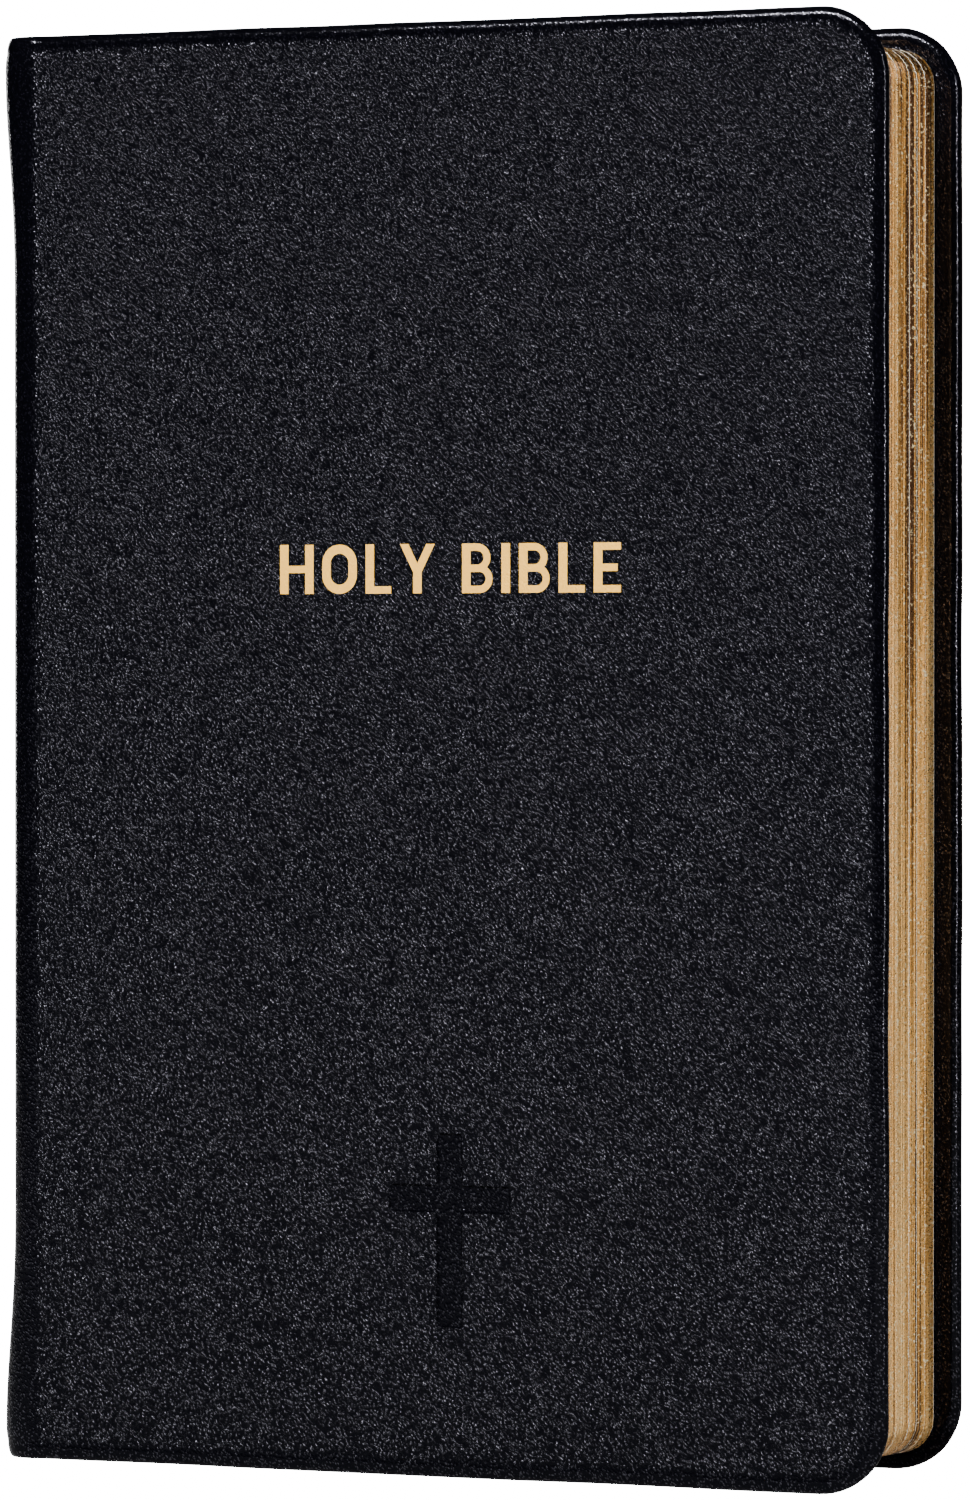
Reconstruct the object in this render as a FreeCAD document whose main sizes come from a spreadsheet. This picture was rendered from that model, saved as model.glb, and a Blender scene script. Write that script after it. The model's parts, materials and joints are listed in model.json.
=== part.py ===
import FreeCAD, Part
import math
import os
import Sketcher

# A pocket Bible in limp leather: sewn sections of thin paper, gilt on three edges, in a
# flexible leather case that opens at the front and at the back.
#
# The book stands on its tail edge. +X runs from the spine to the fore-edge, -Y is the front
# cover's side, +Z is up. The origin is the middle of the bottom of the book's box.
# Every body is drawn from the spine / front face / tail corner, where all sizes are positive,
# and its Placement then brings it to the origin.

os.makedirs("parts", exist_ok=True)
doc = FreeCAD.newDocument("LeatherBible")

# ---------------------------------------------------------------- driving dimensions

SIZES = [
    ("cover_height", 206.0, "tail edge to head edge of the covers"),
    ("book_width", 136.0, "outside of the spine to the fore-edge of the covers"),
    ("book_thick", 35.4, "outside of the front cover to outside of the back cover"),
    ("leather_thick", 0.8, "calf leather of the case"),
    ("board_thick", 0.8, "flexible board inside each cover"),
    ("lining_thick", 0.4, "lining paper, and the pared leather turned in beside it"),
    ("turn_in", 14.0, "width of the leather folded onto the inside of a cover"),
    ("cover_corner", 10.0, "radius of the covers' corners"),
    ("edge_roll", 0.85, "rounding where the leather folds over the board"),
    ("hinge_land", 2.3, "flat leather between the spine's rounding and the line where it bends"),
    ("moving_gap", 0.3, "air between pieces that turn apart"),
    ("fit_gap", 0.03, "air round a piece that is glued into a recess"),
    ("spine_round", 60.0, "radius of the rounded back"),
    ("spine_corner", 4.0, "radius where the back turns into the covers"),
    ("spine_card", 0.6, "flexible card behind the spine leather"),
    ("spine_hollow", 0.3, "air that lets the back flex away from its card"),
    ("spine_paper", 0.3, "kraft paper glued over the gauze"),
    ("gauze_thick", 0.3, "mull glued over the sewing"),
    ("thread_thick", 0.4, "sewing thread across the folds"),
    ("glue_film", 0.15, "glue between the folds and the thread"),
    ("shoulder_land", 0.9, "how far the spine's inner layers pass the end of the rounding"),
    ("tail_square", 2.6, "covers below the pages"),
    ("head_square", 3.4, "covers above the pages"),
    ("fore_square", 3.8, "covers beyond the outermost leaves at the fore-edge"),
    ("page_corner", 5.0, "radius of the pages' corners"),
    ("fold_round", 0.8, "rounding at the folded back of a section"),
    ("flyleaf_thick", 0.25, "free leaf of the endpapers"),
    ("band_radius", 0.9, "bead of the head and tail bands"),
    ("band_inset", 4.0, "ends of the bands from the outside of the covers"),
    ("thread_margin", 16.0, "first and last sewing stations from the ends of the pages"),
    ("cross_height", 27.0, "cross pressed into the front cover"),
    ("cross_width", 18.0, "its arm, from end to end"),
    ("cross_stroke", 3.4, "width of its bars"),
    ("cross_depth", 0.25, "how deep it is pressed"),
    ("cross_low", 21.5, "foot of the cross above the tail edge"),
    ("mark_centre", 71.0, "middle of cross and title from the outside of the spine"),
    ("title_low", 125.1, "foot of the title above the tail edge"),
    ("title_cap", 7.0, "height of its capitals"),
    ("title_stroke", 1.3, "width of its strokes"),
    ("title_space", 1.35, "space between its letters"),
    ("foil_thick", 0.05, "gold foil pressed flush with the leather"),
]

SECTIONS = 14        # sewn sections in the text block
LOOSE = 3            # sections at the front, and at the back, that turn with their cover
STATIONS = 6         # rows of sewing across the folds

sheet = doc.addObject("Spreadsheet::Sheet", "Sizes")
for row, (alias, value, meaning) in enumerate(SIZES, start=1):
    sheet.set(f"A{row}", meaning)
    sheet.set(f"B{row}", str(value))
    sheet.setAlias(f"B{row}", alias)
doc.recompute()


def size(alias):
    """The value of one cell, for the few shapes that are worked out in this file."""
    return float(sheet.get(alias))


def cells(formula):
    """A formula with each size's name turned into a reference to its cell."""
    for alias, _, _ in SIZES:
        formula = formula.replace(f"<{alias}>", f"Sizes.{alias}")
    return formula


# ---------------------------------------------------------------- places worked out from them

FRONT = "0"
BACK = "<book_thick>"
FORE = "<book_width>"
CORNER_X = ("(<spine_round> - sqrt(pow(<spine_round> - <spine_corner>; 2)"
            " - pow(<book_thick> / 2 - <spine_corner>; 2)))")
HINGE = f"({CORNER_X} + <hinge_land>)"
SHOULDER = f"({CORNER_X} + <shoulder_land>)"
COVER = "(<leather_thick> + <board_thick> + <lining_thick>)"
PAGE_LOW = "<tail_square>"
PAGE_HIGH = "(<cover_height> - <head_square>)"
PAGE_FRONT = f"({COVER} + 2 * <moving_gap> + <flyleaf_thick>)"
CARD_INSET = "<leather_thick>"
PAPER_INSET = "(<leather_thick> + <spine_card> + <spine_hollow>)"
GAUZE_INSET = f"({PAPER_INSET} + <spine_paper>)"
THREAD_INSET = f"({GAUZE_INSET} + <gauze_thick>)"
FOLD_INSET = f"({THREAD_INSET} + <thread_thick> + <glue_film>)"
SECTION = f"((<book_thick> - 2 * {PAGE_FRONT} - {2 * LOOSE} * <moving_gap>) / {SECTIONS})"


def across(depth):
    """The same place counted from the back cover's outer face instead of the front's."""
    return f"({BACK} - {depth})"


def fold_x(depth):
    """Where the rounded back of the pages lies, at a depth from the front face."""
    reach = f"(<spine_round> - {FOLD_INSET})"
    aside = f"({depth} - <book_thick> / 2)"
    return f"(<spine_round> - sqrt(pow({reach}; 2) - pow({aside}; 2)))"


def fold_back(depth):
    """The same for the glued folds, which also keep inside the rounded corner of the back."""
    shallow = f"min({depth}; {across(depth)})"
    inside = f"pow(<spine_corner> - {FOLD_INSET}; 2) - pow(<spine_corner> - {shallow}; 2)"
    corner = f"{CORNER_X} - sqrt(max(0; {inside}))"
    return f"({shallow} < <spine_corner> ? {corner} : {fold_x(depth)})"


PAGE_WIDE = f"({FORE} - <fore_square> - {fold_x(PAGE_FRONT)})"


# ---------------------------------------------------------------- ways of making a piece

def new_body(label):
    body = doc.addObject("PartDesign::Body", label)
    body.Label = label
    body.setExpression("Placement.Base.x", cells("-<book_width> / 2"))
    body.setExpression("Placement.Base.y", cells("-<book_thick> / 2"))
    return body


def new_sketch(body, low):
    """A sketch that lies level in the body, at a height above the tail edge."""
    sketch = body.newObject("Sketcher::SketchObject", body.Label + "_sketch")
    level = next(part for part in body.Origin.OriginFeatures if part.Role == "XY_Plane")
    sketch.AttachmentSupport = (level, [""])
    sketch.MapMode = "FlatFace"
    sketch.setExpression("AttachmentOffset.Base.z", cells(low))
    return sketch


def hold(sketch, direction, geometry, vertex, name, formula):
    """Tie one coordinate of a point of a sketch to a formula."""
    place = sketch.getPoint(geometry, vertex)
    value = place.x if direction == "DistanceX" else place.y
    number = sketch.addConstraint(Sketcher.Constraint(direction, -1, 1, geometry, vertex, value))
    sketch.renameConstraint(number, name)
    sketch.setExpression("Constraints." + name, cells(formula))


def pad_up(body, sketch, low, high):
    pad = body.newObject("PartDesign::Pad", body.Label + "_pad")
    pad.Profile = sketch
    pad.setExpression("Length", cells(f"{high} - {low}"))
    sketch.Visibility = False
    doc.recompute()
    return pad


def edge_names(shape, wanted):
    return [f"Edge{n}" for n, edge in enumerate(shape.Edges, start=1) if wanted(edge)]


def round_off(body, feature, wanted, radius):
    """Fillet the edges of the last feature that a test picks out."""
    fillet = body.newObject("PartDesign::Fillet", body.Label + "_fillet")
    fillet.Base = (feature, edge_names(feature.Shape, wanted))
    fillet.setExpression("Radius", cells(radius))
    doc.recompute()
    return fillet


def runs_along(edge, axis):
    """Whether an edge is a straight line along an axis."""
    if edge.Curve.TypeId != "Part::GeomLine":
        return False
    return abs(abs(edge.Curve.Direction.dot(axis)) - 1) < 0.001


def block(label, near, far, depth, low, high, corner=None):
    """An upright slab. near and far are its spine-side and fore-edge places, each at the front
    and at the back face; depth is its front and back face; corner rounds it at the fore-edge."""
    body = new_body(label)
    sketch = new_sketch(body, low)
    points = [(1, 1), (2, 1), (2, 2), (1, 2)]
    for n, (x, y) in enumerate(points):
        end_x, end_y = points[(n + 1) % 4]
        start = FreeCAD.Vector(x, y, 0)
        end = FreeCAD.Vector(end_x, end_y, 0)
        sketch.addGeometry(Part.LineSegment(start, end), False)
    for n in range(4):
        sketch.addConstraint(Sketcher.Constraint("Coincident", n, 2, (n + 1) % 4, 1))
    wide = [near[0], far[0], far[1], near[1]]
    deep = [depth[0], depth[0], depth[1], depth[1]]
    for n in range(4):
        hold(sketch, "DistanceX", n, 1, f"wide_{n}", wide[n])
        hold(sketch, "DistanceY", n, 1, f"deep_{n}", deep[n])
    last = pad_up(body, sketch, low, high)
    if corner:
        box = last.Shape.BoundBox
        middle = (box.XMin + box.XMax) / 2

        def at_fore_edge(edge):
            centre = edge.CenterOfMass
            level = abs(edge.tangentAt(edge.FirstParameter).z) < 0.001
            crossing = abs(edge.tangentAt(edge.FirstParameter).y) > 0.5
            return centre.x > middle and level and crossing

        last = round_off(body, last, at_fore_edge, corner)
    return body, last


def arched_shell(label, inset, thick, low, high, reach=SHOULDER):
    """One layer of the spine: a sheet that follows the rounded back at an inset from the
    outside of the leather, and turns forwards over both shoulders as far as reach."""
    body = new_body(label)
    sketch = new_sketch(body, low)
    middle = size("book_thick") / 2
    radius = size("spine_round")
    half = middle - 1
    angle = math.asin(half / radius)
    centre = FreeCAD.Vector(radius, middle, 0)
    circle = Part.Circle(centre, FreeCAD.Vector(0, 0, 1), radius)
    arc = sketch.addGeometry(Part.ArcOfCircle(circle, math.pi - angle, math.pi + angle), False)
    start = sketch.getPoint(arc, 1)
    end = sketch.getPoint(arc, 2)
    far = radius / 2
    corners = [end, FreeCAD.Vector(far, end.y, 0), FreeCAD.Vector(far, start.y, 0), start]
    lines = []
    for first, second in zip(corners, corners[1:]):
        lines.append(sketch.addGeometry(Part.LineSegment(first, second), False))
    loop = [arc] + lines
    for first, second in zip(loop, loop[1:] + loop[:1]):
        sketch.addConstraint(Sketcher.Constraint("Coincident", first, 2, second, 1))
    hold(sketch, "DistanceX", arc, 3, "centre_x", "<spine_round>")
    hold(sketch, "DistanceY", arc, 3, "centre_y", "<book_thick> / 2")
    number = sketch.addConstraint(Sketcher.Constraint("Radius", arc, radius))
    sketch.renameConstraint(number, "back_radius")
    sketch.setExpression("Constraints.back_radius", cells(f"<spine_round> - {inset}"))
    sketch.addConstraint(Sketcher.Constraint("Horizontal", lines[0]))
    sketch.addConstraint(Sketcher.Constraint("Vertical", lines[1]))
    sketch.addConstraint(Sketcher.Constraint("Horizontal", lines[2]))
    hold(sketch, "DistanceX", lines[1], 1, "reach", reach)
    hold(sketch, "DistanceY", lines[1], 1, "front_y", inset)
    hold(sketch, "DistanceY", lines[1], 2, "back_y", across(inset))
    pad = pad_up(body, sketch, low, high)
    near = pad.Shape.BoundBox.XMax - 1

    def at_shoulder(edge):
        return runs_along(edge, FreeCAD.Vector(0, 0, 1)) and edge.CenterOfMass.x < near

    rounded = round_off(body, pad, at_shoulder, f"<spine_corner> - {inset}")
    open_faces = []
    for n, face in enumerate(rounded.Shape.Faces, start=1):
        normal = face.normalAt(0, 0)
        if abs(normal.z) > 0.9 or (normal.x > 0.9 and face.Surface.TypeId == "Part::GeomPlane"):
            open_faces.append(f"Face{n}")
    shell = body.newObject("PartDesign::Thickness", label + "_shell")
    shell.Base = (rounded, open_faces)
    shell.setExpression("Value", cells(thick))
    shell.Reversed = True
    shell.Join = "Intersection"
    doc.recompute()
    return body


# ---------------------------------------------------------------- the two covers

COVER_NEAR = f"({HINGE} + <moving_gap> / 2)"
COVER_HIGH = "<cover_height>"


def cover(side, inwards):
    """One cover: leather folded over a flexible board, with a lining glued between the
    turn-ins. inwards turns a depth below the cover's outer face into a depth in the book."""
    near = (COVER_NEAR, COVER_NEAR)
    open_end = (HINGE, HINGE)
    outer_face = inwards(FRONT)
    board_outside = inwards("<leather_thick>")
    board_inside = inwards("(<leather_thick> + <board_thick>)")
    inner_face = inwards(COVER)
    past_inner_face = inwards(f"({COVER} + <moving_gap>)")

    envelope, slab = block(side + "_leather_fold", near, (FORE, FORE), (outer_face, inner_face),
                           "0", COVER_HIGH, "<cover_corner>")
    hinge_edge = slab.Shape.BoundBox.XMin

    def on_rim(edge):
        in_a_face = abs(edge.tangentAt(edge.FirstParameter).y) < 0.001
        return in_a_face and edge.BoundBox.XMax > hinge_edge + 0.001

    round_off(envelope, slab, on_rim, f"min(<edge_roll>; {COVER} * 0.45)")
    fore = f"({FORE} - <leather_thick>)"
    high = f"({COVER_HIGH} - <leather_thick>)"
    recess, _ = block(side + "_board_recess", open_end, (fore, fore),
                      (board_outside, board_inside), "<leather_thick>", high,
                      "(<cover_corner> - <leather_thick>)")
    board, _ = block(side + "_board", near, (f"({fore} - <fit_gap>)",) * 2,
                     (board_outside, board_inside), "(<leather_thick> + <fit_gap>)",
                     f"({high} - <fit_gap>)", "(<cover_corner> - <leather_thick> - <fit_gap>)")
    fore = f"({FORE} - <turn_in>)"
    high = f"({COVER_HIGH} - <turn_in>)"
    window, _ = block(side + "_lining_window", open_end, (fore, fore),
                      (board_inside, past_inner_face), "<turn_in>", high, "<fold_round>")
    lining, _ = block(side + "_lining", near, (f"({fore} - <fit_gap>)",) * 2,
                      (board_inside, inner_face), "(<turn_in> + <fit_gap>)",
                      f"({high} - <fit_gap>)", "(<fold_round> - <fit_gap>)")
    return [envelope, recess, window], [board, lining]


def bar(label, low_x, high_x, depth, low, high):
    """A rectangular tool that cuts one bar of the pressed cross into the front face."""
    box = doc.addObject("Part::Box", label)
    box.setExpression("Length", cells(f"{high_x} - {low_x}"))
    box.setExpression("Width", cells(f"{depth} + <moving_gap>"))
    box.setExpression("Height", cells(f"{high} - {low}"))
    box.setExpression("Placement.Base.x", cells(f"{low_x} - <book_width> / 2"))
    box.setExpression("Placement.Base.y", cells("-<book_thick> / 2 - <moving_gap>"))
    box.setExpression("Placement.Base.z", cells(low))
    return box


def fused(label, shapes):
    fusion = doc.addObject("Part::MultiFuse", label)
    fusion.Shapes = shapes
    return fusion


def cut(label, base, tool):
    piece = doc.addObject("Part::Cut", label)
    piece.Label = label
    piece.Base = base
    piece.Tool = tool
    doc.recompute()
    return piece


# The title's capitals: each letter is a few flat strokes, all as thick as the foil.

FOIL = size("foil_thick")


def plate(corners):
    points = [FreeCAD.Vector(x, 0, z) for x, z in corners]
    face = Part.Face(Part.makePolygon(points + points[:1]))
    return face.extrude(FreeCAD.Vector(0, FOIL, 0))


def stroke_between(left, foot, right, top):
    return plate([(left, foot), (right, foot), (right, top), (left, top)])


def joined(strokes):
    return strokes[0].multiFuse(strokes[1:]).removeSplitter()


def half_round(near, foot, far, top):
    """A flat plate that ends in a half-circle at its far side."""
    radius = (top - foot) / 2
    centre = FreeCAD.Vector(far - radius, 0, foot + radius)
    disc = Part.makeCylinder(radius, FOIL, centre, FreeCAD.Vector(0, 1, 0))
    return joined([stroke_between(near, foot, centre.x, top), disc])


def bowl(foot, far, top, stroke):
    """The half-round stroke of a B, which leaves the stem and comes back to it."""
    inside = half_round(stroke / 2, foot + stroke, far - stroke, top - stroke)
    return half_round(stroke / 2, foot, far, top).cut(inside)


def pill(wide, cap, inset):
    """An upright plate with round ends, inset from a box of the letter's size."""
    radius = wide / 2 - inset
    ends = []
    for height in (wide / 2, cap - wide / 2):
        centre = FreeCAD.Vector(wide / 2, 0, height)
        ends.append(Part.makeCylinder(radius, FOIL, centre, FreeCAD.Vector(0, 1, 0)))
    return joined([stroke_between(inset, wide / 2, wide - inset, cap - wide / 2)] + ends)


def capital(name, cap, stroke):
    """One capital and its width."""
    wide = max(cap * LETTER_WIDTHS[name], stroke)
    thin = stroke * 0.8
    waist = (cap - thin) / 2
    stem = stroke_between(0, 0, stroke, cap)
    if name == "H":
        crossbar = stroke_between(0, waist, wide, waist + thin)
        strokes = [stem, crossbar, stroke_between(wide - stroke, 0, wide, cap)]
    elif name == "O":
        strokes = [pill(wide, cap, 0).cut(pill(wide, cap, stroke))]
    elif name == "L":
        strokes = [stem, stroke_between(0, 0, wide, thin)]
    elif name == "Y":
        left = (wide - stroke) / 2
        right = (wide + stroke) / 2
        arm = [(0, cap), (stroke, cap), (right, waist), (left, waist)]
        other = [(wide, cap), (wide - stroke, cap), (left, waist), (right, waist)]
        strokes = [plate(arm), plate(other), stroke_between(left, 0, right, waist)]
    elif name == "B":
        strokes = [stem, bowl(waist, wide * 0.93, cap, thin), bowl(0, wide, waist + thin, thin)]
    elif name == "E":
        strokes = [stem, stroke_between(0, 0, wide, thin), stroke_between(0, cap - thin, wide, cap),
                   stroke_between(0, waist, wide * 0.88, waist + thin)]
    else:
        strokes = [stem]
    return joined(strokes + strokes[:1]), wide


LETTER_WIDTHS = {"H": 0.74, "O": 0.76, "L": 0.56, "Y": 0.76, "B": 0.66, "I": 0.0, "E": 0.58}
WORD_SPACE = 0.4     # width of the space between words, as a share of the capitals' height


def lettering(words):
    """The words in one line, each letter a solid of its own, centred on x = 0."""
    cap = size("title_cap")
    pen = 0.0
    letters = []
    for name in words:
        if name == " ":
            pen += cap * WORD_SPACE
            continue
        letter, wide = capital(name, cap, size("title_stroke"))
        letter.translate(FreeCAD.Vector(pen, 0, 0))
        letters += letter.Solids
        pen += wide + size("title_space")
    line = Part.makeCompound(letters)
    line.translate(FreeCAD.Vector(-(pen - size("title_space")) / 2, 0, 0))
    return Part.makeCompound(line.Solids)


def title(label):
    piece = doc.addObject("Part::Feature", label)
    piece.Label = label
    piece.Shape = lettering("HOLY BIBLE")
    piece.setExpression("Placement.Base.x", cells("<mark_centre> - <book_width> / 2"))
    piece.setExpression("Placement.Base.y", cells("-<book_thick> / 2"))
    piece.setExpression("Placement.Base.z", cells("<title_low>"))
    return piece


pieces = []

tools, inner_pieces = cover("front", lambda depth: depth)
foil = title("title_foil")
cross = [
    bar("cross_post", "(<mark_centre> - <cross_stroke> / 2)",
        "(<mark_centre> + <cross_stroke> / 2)", "<cross_depth>",
        "<cross_low>", "(<cross_low> + <cross_height>)"),
    bar("cross_arm", "(<mark_centre> - <cross_width> / 2)",
        "(<mark_centre> + <cross_width> / 2)", "<cross_depth>",
        "(<cross_low> + <cross_height> - <cross_width> / 2 - <cross_stroke> / 2)",
        "(<cross_low> + <cross_height> - <cross_width> / 2 + <cross_stroke> / 2)"),
]
pressed = fused("front_leather_cuts", tools[1:] + cross + [foil])
pieces.append(cut("front_leather", tools[0], pressed))
pieces += inner_pieces + [foil]

tools, inner_pieces = cover("back", across)
pieces.append(cut("back_leather", tools[0], fused("back_leather_cuts", tools[1:])))
pieces += inner_pieces


# ---------------------------------------------------------------- the spine's layers

SPINE_FAR = f"({HINGE} - <moving_gap> / 2)"
CARD_LOW = "<leather_thick>"
CARD_HIGH = "(<cover_height> - <leather_thick>)"
BAND_LOW = f"({PAGE_LOW} + 4 * <band_radius>)"
BAND_HIGH = f"({PAGE_HIGH} - 4 * <band_radius>)"

pieces.append(arched_shell("spine_leather", FRONT, "<leather_thick>", "0", COVER_HIGH,
                           SPINE_FAR))
pieces.append(arched_shell("spine_card", CARD_INSET, "<spine_card>", CARD_LOW, CARD_HIGH))
pieces.append(arched_shell("spine_paper", PAPER_INSET, "<spine_paper>", PAGE_LOW, PAGE_HIGH))
pieces.append(arched_shell("mull_gauze", GAUZE_INSET, "<gauze_thick>", BAND_LOW, BAND_HIGH))

stitches = []
for station in range(STATIONS):
    share = f"{station} / {STATIONS - 1}"
    low = (f"({PAGE_LOW} + <thread_margin> + ({PAGE_HIGH} - {PAGE_LOW} - 2 * <thread_margin>)"
           f" * {share})")
    stitches.append(arched_shell(f"stitch_{station + 1}", THREAD_INSET, "<thread_thick>", low,
                                 f"({low} + <thread_thick>)"))
thread = doc.addObject("Part::Compound", "sewing_thread")
thread.Label = "sewing_thread"
thread.Links = stitches
pieces.append(thread)


def end_band(label, height):
    """The bead of silk that covers the folds at one end of the text block."""
    band = doc.addObject("Part::Torus", label)
    band.Label = label
    reach = f"(<spine_round> - {FOLD_INSET} - <band_radius>)"
    opening = f"asin((<book_thick> / 2 - <band_inset>) / {reach})"
    band.setExpression("Radius1", cells(reach))
    band.setExpression("Radius2", cells("<band_radius>"))
    band.setExpression("Angle3", cells(f"2 * {opening}"))
    band.setExpression("Placement.Base.x", cells("<spine_round> - <book_width> / 2"))
    band.setExpression("Placement.Base.z", cells(height))
    band.setExpression("Placement.Rotation.Angle", cells(f"180 deg - {opening}"))
    return band


pieces.append(end_band("tailband", f"({PAGE_LOW} - <band_radius>)"))
pieces.append(end_band("headband", f"({PAGE_HIGH} + <band_radius>)"))


# ---------------------------------------------------------------- endpapers and sections

def free_block(label, depth, near, far):
    """Leaves cut to the page's height with a rounded corner at head and tail."""
    piece, _ = block(label, near, far, depth, PAGE_LOW, PAGE_HIGH, "<page_corner>")
    return piece


flyleaf_depth = (f"({COVER} + <moving_gap>)", f"({COVER} + <moving_gap> + <flyleaf_thick>)")
flyleaf_far = f"({fold_x(PAGE_FRONT)} + {PAGE_WIDE})"
for side, inwards in (("front", lambda depth: depth), ("back", across)):
    depth = tuple(inwards(face) for face in flyleaf_depth)
    pieces.append(free_block(side + "_flyleaf", depth, (COVER_NEAR,) * 2, (flyleaf_far,) * 2))

for n in range(SECTIONS):
    gaps = min(n, LOOSE) + max(0, n - (SECTIONS - LOOSE - 1))
    first = f"({PAGE_FRONT} + {n} * {SECTION} + {gaps} * <moving_gap>)"
    depth = (first, f"({first} + {SECTION})")
    folds = tuple(fold_back(face) for face in depth)
    far = tuple(f"({fold_x(face)} + {PAGE_WIDE})" for face in depth)
    name = f"section_{n + 1:02d}"
    loose = n < LOOSE or n >= SECTIONS - LOOSE
    if loose:
        pieces.append(free_block(name + "_leaves", depth, (COVER_NEAR,) * 2, far))
        body, last = block(name + "_fold", folds, (SPINE_FAR,) * 2, depth, PAGE_LOW, PAGE_HIGH)
    else:
        body, last = block(name, folds, far, depth, PAGE_LOW, PAGE_HIGH, "<page_corner>")
    back = last.Shape.BoundBox.XMin + (last.Shape.BoundBox.YLength)

    def at_fold(edge):
        return runs_along(edge, FreeCAD.Vector(0, 0, 1)) and edge.CenterOfMass.x < back

    round_off(body, last, at_fold, "<fold_round>")
    pieces.append(body)


# ---------------------------------------------------------------- checking and writing

doc.recompute()
broken = [item.Label for item in doc.Objects if {"Invalid", "Error"} & set(item.State)]
for piece in pieces:
    if piece.Shape.isNull() or not piece.Shape.isValid():
        broken.append(piece.Label)
if broken:
    raise RuntimeError("these did not build: " + ", ".join(broken))

for piece in pieces:
    piece.Shape.exportStep(f"parts/{piece.Label}.step")
    box = piece.Shape.optimalBoundingBox()
    print(f"{piece.Label}: {len(piece.Shape.Solids)} solid, {piece.Shape.Volume:.1f} mm3, "
          f"x {box.XMin:.2f} {box.XMax:.2f} y {box.YMin:.2f} {box.YMax:.2f} "
          f"z {box.ZMin:.2f} {box.ZMax:.2f}")
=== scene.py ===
import json
import math

import bmesh
import bpy
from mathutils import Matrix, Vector, noise


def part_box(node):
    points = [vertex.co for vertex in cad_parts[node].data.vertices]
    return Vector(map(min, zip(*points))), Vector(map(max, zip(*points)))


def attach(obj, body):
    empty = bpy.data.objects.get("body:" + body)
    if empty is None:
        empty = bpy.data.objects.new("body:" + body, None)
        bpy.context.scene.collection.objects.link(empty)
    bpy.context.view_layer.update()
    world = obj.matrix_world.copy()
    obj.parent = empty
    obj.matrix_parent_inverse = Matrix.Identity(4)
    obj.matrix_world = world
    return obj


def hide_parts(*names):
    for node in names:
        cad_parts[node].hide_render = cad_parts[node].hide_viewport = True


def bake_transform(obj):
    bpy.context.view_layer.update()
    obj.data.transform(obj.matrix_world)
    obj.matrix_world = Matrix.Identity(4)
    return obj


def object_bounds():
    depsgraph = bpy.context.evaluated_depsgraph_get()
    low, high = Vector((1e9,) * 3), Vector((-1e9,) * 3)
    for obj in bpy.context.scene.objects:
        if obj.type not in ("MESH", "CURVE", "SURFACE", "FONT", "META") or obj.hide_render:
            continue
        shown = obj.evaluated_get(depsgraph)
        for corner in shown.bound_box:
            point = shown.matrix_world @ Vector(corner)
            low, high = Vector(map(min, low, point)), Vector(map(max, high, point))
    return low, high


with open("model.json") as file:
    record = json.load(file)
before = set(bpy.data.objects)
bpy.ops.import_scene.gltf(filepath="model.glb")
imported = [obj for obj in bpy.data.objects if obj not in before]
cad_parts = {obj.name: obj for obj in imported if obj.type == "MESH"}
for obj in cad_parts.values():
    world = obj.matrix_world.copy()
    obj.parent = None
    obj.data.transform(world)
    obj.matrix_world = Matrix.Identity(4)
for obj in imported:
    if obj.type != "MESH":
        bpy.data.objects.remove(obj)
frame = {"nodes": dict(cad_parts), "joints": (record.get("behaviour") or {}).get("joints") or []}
cad_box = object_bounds()


# ------------------------------------------------------------------ studio
# The book stands on a pale table before a white backdrop. A soft bank above the camera glints
# on the leather's grain, a strip at the right draws a line along the folded edges, two panels
# behind are what the gilt fore-edge mirrors, and a strip behind on the left edges the back.

MM = 0.001


def linear(hex_colour):
    """An sRGB hex colour as the linear RGBA that shaders take."""
    channels = [int(hex_colour[i:i + 2], 16) / 255 for i in (1, 3, 5)]
    return [c / 12.92 if c <= 0.04045 else ((c + 0.055) / 1.055) ** 2.4 for c in channels] + [1.0]


def add_node(tree, kind, settings=None, **inputs):
    """Adds a node. settings are its own properties; inputs are values or sockets to link, by
    the socket's name with _ for a space, or by _ and its number."""
    node = tree.nodes.new(kind)
    for name, value in (settings or {}).items():
        setattr(node, name, value)
    for name, value in inputs.items():
        key = int(name[1:]) if name[1:].isdigit() else name.replace("_", " ")
        socket = node.inputs[key]
        if isinstance(value, bpy.types.NodeSocket):
            tree.links.new(value, socket)
        else:
            socket.default_value = value
    return node


def new_material(name):
    """A material with its tree and its shader."""
    material = bpy.data.materials.new(name)
    material.use_nodes = True
    return material, material.node_tree, material.node_tree.nodes["Principled BSDF"]


def white_to_camera(tree, shading, white, output):
    """Shows plain white to the camera, and the real shading to every other ray."""
    seen = add_node(tree, "ShaderNodeLightPath")
    choice = add_node(tree, "ShaderNodeMixShader", _0=seen.outputs["Is Camera Ray"],
                      _1=shading.outputs[0], _2=white.outputs[0])
    tree.links.new(choice.outputs[0], tree.nodes[output].inputs["Surface"])


def area_light(name, place, target, wide, tall, watts, colour="#ffffff"):
    """A soft rectangular light, its sizes in metres, turned to a target."""
    data = bpy.data.lights.new(name, "AREA")
    data.shape = "RECTANGLE"
    data.size = wide
    data.size_y = tall
    data.energy = watts
    data.color = linear(colour)[:3]
    lamp = bpy.data.objects.new(name, data)
    bpy.context.scene.collection.objects.link(lamp)
    lamp.location = place
    lamp.rotation_euler = (Vector(target) - Vector(place)).to_track_quat("-Z", "Y").to_euler()
    return lamp


low, high = cad_box
middle = (low + high) / 2

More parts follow.
